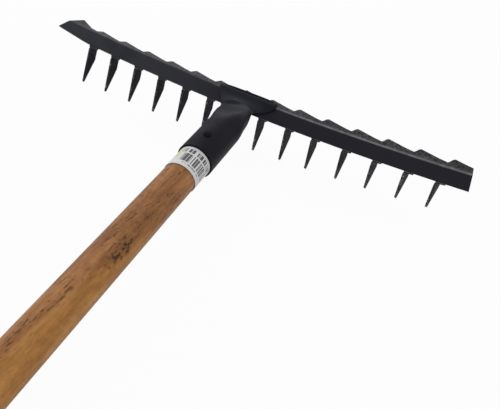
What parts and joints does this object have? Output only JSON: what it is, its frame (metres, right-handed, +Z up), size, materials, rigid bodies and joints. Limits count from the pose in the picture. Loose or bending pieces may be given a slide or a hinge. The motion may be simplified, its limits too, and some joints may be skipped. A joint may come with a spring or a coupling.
{
  "type": "garden rake",
  "caption": "Hand rake with a stamped steel head of twisted teeth, a rolled and welded socket, and a long round wooden handle",
  "frame": {"origin": "centre of the footprint, on the floor, with the rake resting on its teeth and the end of its handle", "axes": "+Y from the handle towards the head, +X along the bar to the right as seen from the handle, +Z up"},
  "size_m": [0.4132, 1.286, 0.0757],
  "materials": {
    "black_paint": "black paint, satin, worn at edges",
    "painted_weld": "painted weld metal",
    "stained_wood": "turned hardwood, thin varnish",
    "nail_steel": "nail, painted over with the socket",
    "label_paper": "matt white paper"
  },
  "bodies": {
    "root": {"rake_head": "black_paint", "socket": "black_paint", "weld_rear": "painted_weld", "handle": "stained_wood", "handle_nail": "nail_steel", "label_sleeve": "label_paper"}
  },
  "joints": []
}
